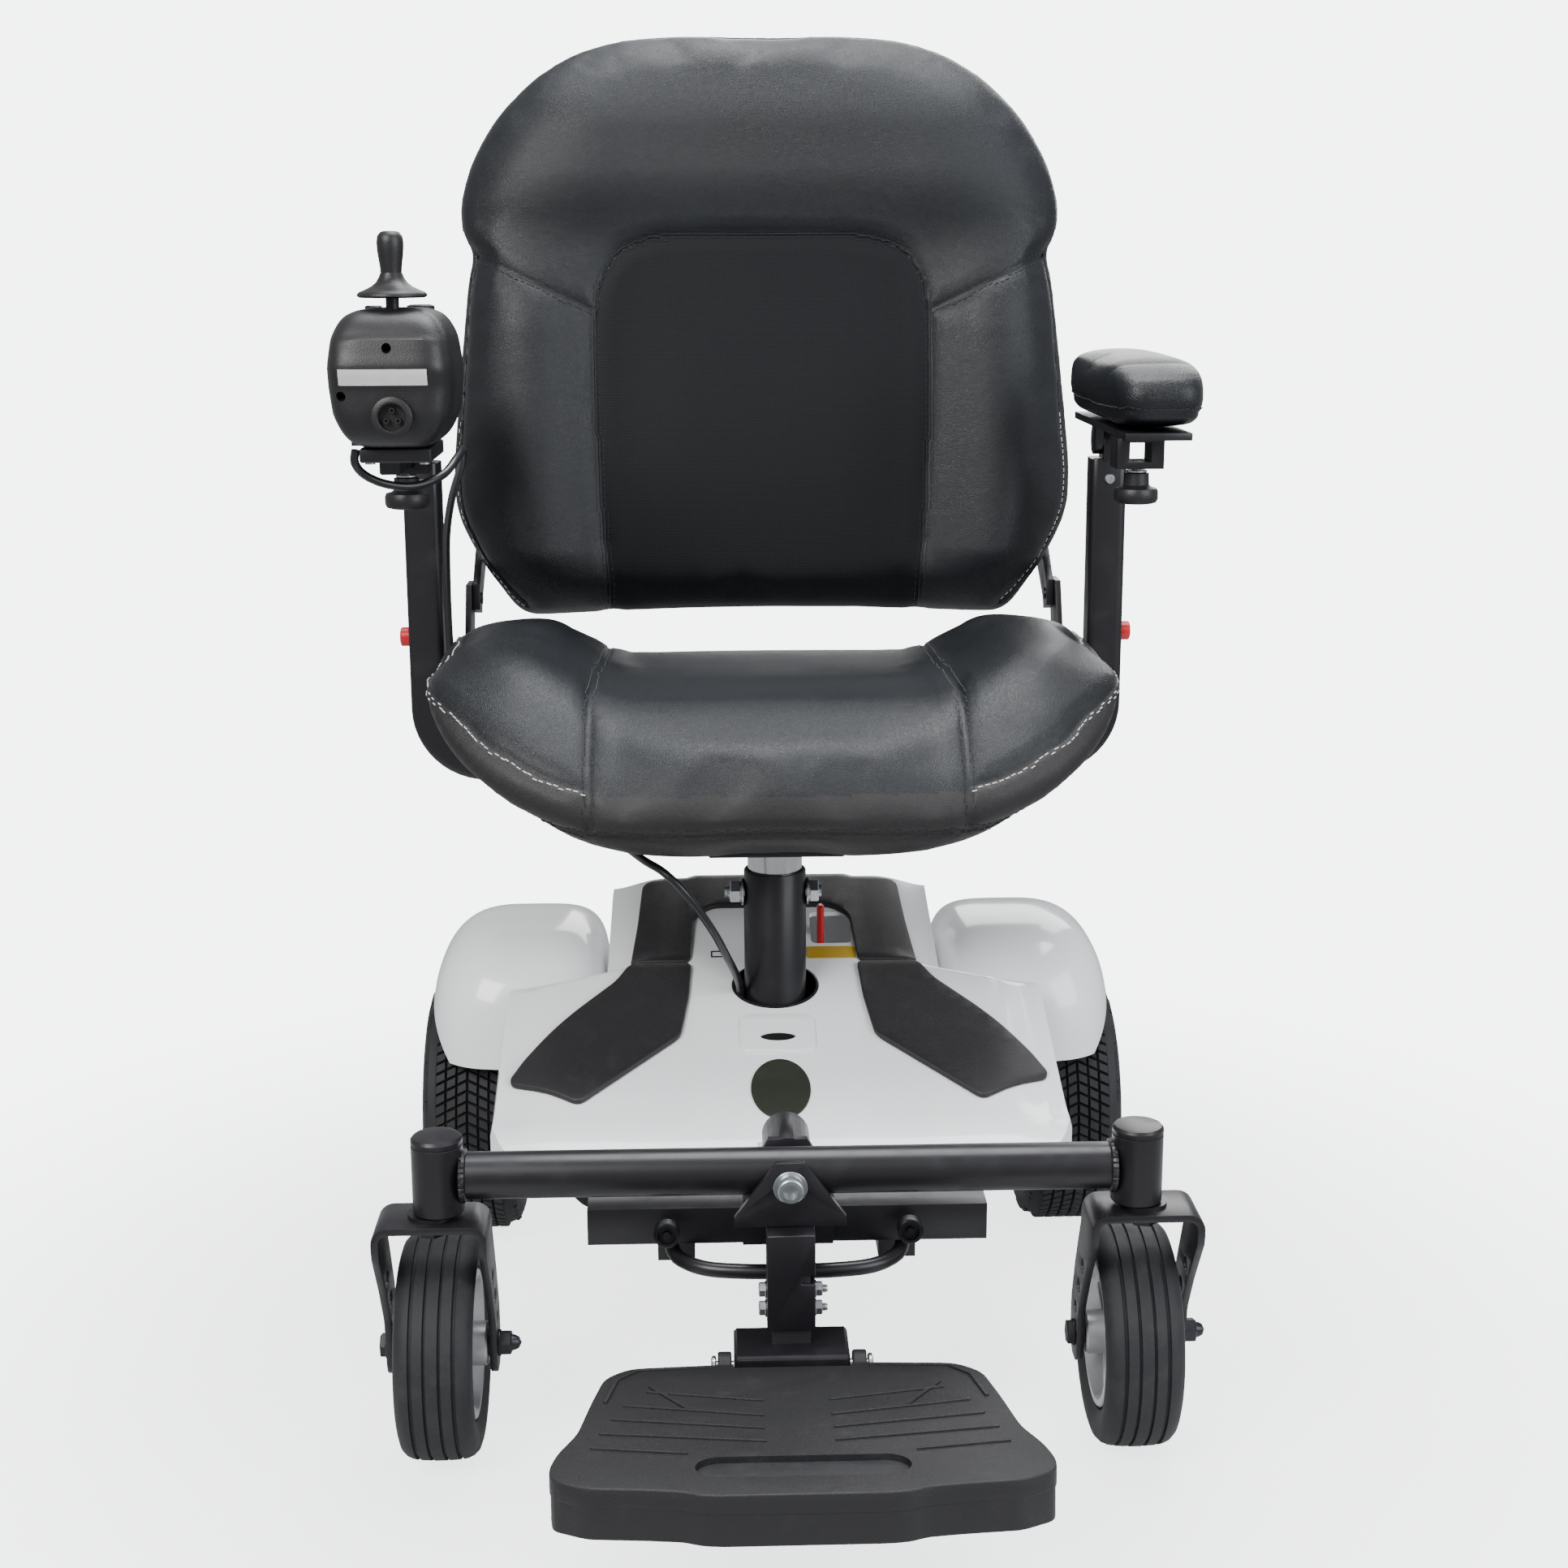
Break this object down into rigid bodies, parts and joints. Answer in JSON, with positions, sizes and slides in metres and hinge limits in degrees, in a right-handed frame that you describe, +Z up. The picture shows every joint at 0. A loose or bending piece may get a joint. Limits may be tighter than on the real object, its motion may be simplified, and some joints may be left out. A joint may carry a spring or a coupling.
{
  "type": "power wheelchair",
  "caption": "Compact rear-wheel-drive power wheelchair with a padded post-mounted seat, joystick arm, white base covers, front casters and a flip-up footrest.",
  "frame": {"origin": "on the floor, at the middle of the whole chair's width and length", "axes": "+Z up, +X to the seated person's left (viewer's right when facing the chair), front of the chair towards -Y"},
  "size_m": [0.612, 0.9252, 0.975],
  "materials": {
    "black_steel": "satin black powder coat on steel",
    "white_shell": "gloss white moulded cover",
    "dark_trim": "dark grey textured plastic",
    "black_vinyl": "fine-grained black upholstery vinyl",
    "rubber": "black rubber",
    "tyre": "black tyre rubber",
    "silver_rim": "silver-grey painted rim",
    "zinc": "zinc plate, slightly dull",
    "chrome_post": "bright plated post",
    "black_plastic": "black moulded plastic",
    "red_plastic": "red plastic"
  },
  "bodies": {
    "chassis": {"main_frame": "black_steel", "column_tube": "black_steel", "column_bolt": "zinc", "pivot_bracket": "black_steel", "pivot_bolt": "zinc", "footrest_hanger": "black_steel", "tiedown_loop": "black_steel", "battery_box": "black_plastic", "gear_motor_left": "black_plastic", "gear_motor_right": "black_plastic", "shroud": "white_shell", "fender_left": "white_shell", "fender_right": "white_shell", "trim_left": "dark_trim", "trim_right": "dark_trim", "trim_arch": "dark_trim"},
    "front_axle": {"front_axle_beam": "black_steel"},
    "footrest": {"footrest_post": "black_steel", "footplate_pin": "zinc"},
    "footplate": {"footplate": "black_plastic"},
    "freewheel": {"freewheel_lever": "red_plastic"},
    "lift_post": {"seat_post": "chrome_post", "swivel_plate": "black_steel", "seat_lead": "rubber"},
    "seat": {"seat_pan": "black_steel", "seat_cushion": "black_vinyl"},
    "seat_release": {"swivel_lever": "black_plastic"},
    "back": {"back_frame": "black_steel", "backrest": "black_vinyl"},
    "pod": {"pod_mount": "black_steel", "controller_pod": "black_plastic"},
    "stick_ring": {"joystick_gimbal": "black_plastic"},
    "stick": {"joystick": "black_plastic"},
    "power_key": {"power_button": "black_plastic"},
    "speed_knob": {"speed_dial": "black_plastic"},
    "caster_left": {"caster_fork_left": "black_steel", "caster_axle_left": "black_steel"},
    "caster_wheel_left": {"caster_rim_left": "silver_rim", "caster_tyre_left": "tyre"},
    "drive_wheel_left": {"drive_rim_left": "silver_rim", "drive_tyre_left": "tyre"},
    "antitip_left": {"antitip_wheel_left": "tyre"},
    "arm_left": {"arm_post_left": "black_steel", "joystick_cable": "rubber"},
    "arm_lock_left": {"arm_button_left": "red_plastic"},
    "arm_rest_left": {"arm_bracket_left": "black_steel", "arm_pad_left": "black_vinyl"},
    "arm_screw_left": {"pad_knob_left": "black_plastic"},
    "caster_right": {"caster_fork_right": "black_steel", "caster_axle_right": "black_steel"},
    "caster_wheel_right": {"caster_rim_right": "silver_rim", "caster_tyre_right": "tyre"},
    "drive_wheel_right": {"drive_rim_right": "silver_rim", "drive_tyre_right": "tyre"},
    "antitip_right": {"antitip_wheel_right": "tyre"},
    "arm_right": {"arm_post_right": "black_steel"},
    "arm_lock_right": {"arm_button_right": "red_plastic"},
    "arm_rest_right": {"arm_bracket_right": "black_steel", "arm_pad_right": "black_vinyl"},
    "arm_screw_right": {"pad_knob_right": "black_plastic"}
  },
  "joints": [
    {"name": "axle_rock", "type": "hinge", "parent": "chassis", "child": "front_axle", "pos_m": [0, -0.204, 0.211], "axis": [0, 1, 0], "range_deg": [-4, 4]},
    {"name": "caster_swivel_left", "type": "hinge", "parent": "front_axle", "child": "caster_left", "pos_m": [-0.227, -0.204, 0.2], "axis": [0, 0, 1], "continuous": true},
    {"name": "caster_roll_left", "type": "hinge", "parent": "caster_left", "child": "caster_wheel_left", "pos_m": [-0.227, -0.165, 0.076], "axis": [1, 0, 0], "continuous": true},
    {"name": "drive_roll_left", "type": "hinge", "parent": "chassis", "child": "drive_wheel_left", "pos_m": [-0.247, 0.22, 0.102], "axis": [1, 0, 0], "continuous": true},
    {"name": "antitip_roll_left", "type": "hinge", "parent": "chassis", "child": "antitip_left", "pos_m": [-0.095, 0.383, 0.042], "axis": [1, 0, 0], "continuous": true},
    {"name": "caster_swivel_right", "type": "hinge", "parent": "front_axle", "child": "caster_right", "pos_m": [0.227, -0.204, 0.2], "axis": [0, 0, 1], "continuous": true},
    {"name": "caster_roll_right", "type": "hinge", "parent": "caster_right", "child": "caster_wheel_right", "pos_m": [0.227, -0.165, 0.076], "axis": [1, 0, 0], "continuous": true},
    {"name": "drive_roll_right", "type": "hinge", "parent": "chassis", "child": "drive_wheel_right", "pos_m": [0.247, 0.22, 0.102], "axis": [1, 0, 0], "continuous": true},
    {"name": "antitip_roll_right", "type": "hinge", "parent": "chassis", "child": "antitip_right", "pos_m": [0.095, 0.383, 0.042], "axis": [1, 0, 0], "continuous": true},
    {"name": "footrest_height", "type": "slide", "parent": "chassis", "child": "footrest", "axis": [0, 0, -1], "range_m": [0, 0.03]},
    {"name": "footplate_flip", "type": "hinge", "parent": "footrest", "child": "footplate", "pos_m": [0, -0.249, 0.098], "axis": [-1, 0, 0], "range_deg": [0, 75]},
    {"name": "freewheel_lever", "type": "hinge", "parent": "chassis", "child": "freewheel", "pos_m": [0.038, 0.143, 0.235], "axis": [-1, 0, 0], "range_deg": [0, 25]},
    {"name": "seat_height", "type": "slide", "parent": "chassis", "child": "lift_post", "axis": [0, 0, 1], "range_m": [0, 0.06]},
    {"name": "seat_swivel", "type": "hinge", "parent": "lift_post", "child": "seat", "pos_m": [0, 0.078, 0.37], "axis": [0, 0, 1], "range_deg": [-90, 90]},
    {"name": "seat_release", "type": "hinge", "parent": "seat", "child": "seat_release", "pos_m": [0.08, 0.135, 0.362], "axis": [0, 0, -1], "range_deg": [0, 25], "stiffness_Nm_per_rad": 0.2},
    {"name": "back_fold", "type": "hinge", "parent": "seat", "child": "back", "pos_m": [0, 0.35, 0.507], "axis": [1, 0, 0], "range_deg": [0, 20]},
    {"name": "arm_width_left", "type": "slide", "parent": "seat", "child": "arm_left", "axis": [-1, 0, 0], "range_m": [0, 0.04]},
    {"name": "arm_lock_left", "type": "slide", "parent": "arm_left", "child": "arm_lock_left", "axis": [1, 0, 0], "range_m": [0, 0.004], "stiffness_N_per_m": 400},
    {"name": "arm_flip_left", "type": "hinge", "parent": "arm_left", "child": "arm_rest_left", "pos_m": [-0.2765, 0.263, 0.645], "axis": [-1, 0, 0], "range_deg": [0, 88]},
    {"name": "arm_screw_left", "type": "hinge", "parent": "arm_rest_left", "child": "arm_screw_left", "pos_m": [-0.264, 0.07, 0.63], "axis": [0, 0, 1], "continuous": true},
    {"name": "arm_width_right", "type": "slide", "parent": "seat", "child": "arm_right", "axis": [1, 0, 0], "range_m": [0, 0.04]},
    {"name": "arm_lock_right", "type": "slide", "parent": "arm_right", "child": "arm_lock_right", "axis": [-1, 0, 0], "range_m": [0, 0.004], "stiffness_N_per_m": 400},
    {"name": "arm_flip_right", "type": "hinge", "parent": "arm_right", "child": "arm_rest_right", "pos_m": [0.2765, 0.263, 0.645], "axis": [-1, 0, 0], "range_deg": [0, 88]},
    {"name": "arm_screw_right", "type": "hinge", "parent": "arm_rest_right", "child": "arm_screw_right", "pos_m": [0.264, 0.07, 0.63], "axis": [0, 0, 1], "continuous": true},
    {"name": "pod_slide", "type": "slide", "parent": "arm_rest_left", "child": "pod", "axis": [0, -1, 0], "range_m": [0, 0.07]},
    {"name": "stick_pitch", "type": "hinge", "parent": "pod", "child": "stick_ring", "pos_m": [-0.256, -0.03, 0.748], "axis": [1, 0, 0], "range_deg": [-13, 13], "stiffness_Nm_per_rad": 0.3},
    {"name": "stick_roll", "type": "hinge", "parent": "stick_ring", "child": "stick", "pos_m": [-0.256, -0.03, 0.748], "axis": [0, 1, 0], "range_deg": [-13, 13], "stiffness_Nm_per_rad": 0.3},
    {"name": "power_key", "type": "slide", "parent": "pod", "child": "power_key", "axis": [0, 0, -1], "range_m": [0, 0.002], "stiffness_N_per_m": 300},
    {"name": "speed_knob", "type": "hinge", "parent": "pod", "child": "speed_knob", "pos_m": [-0.242, 0.009, 0.753], "axis": [0, 0, 1], "range_deg": [-135, 135]}
  ]
}
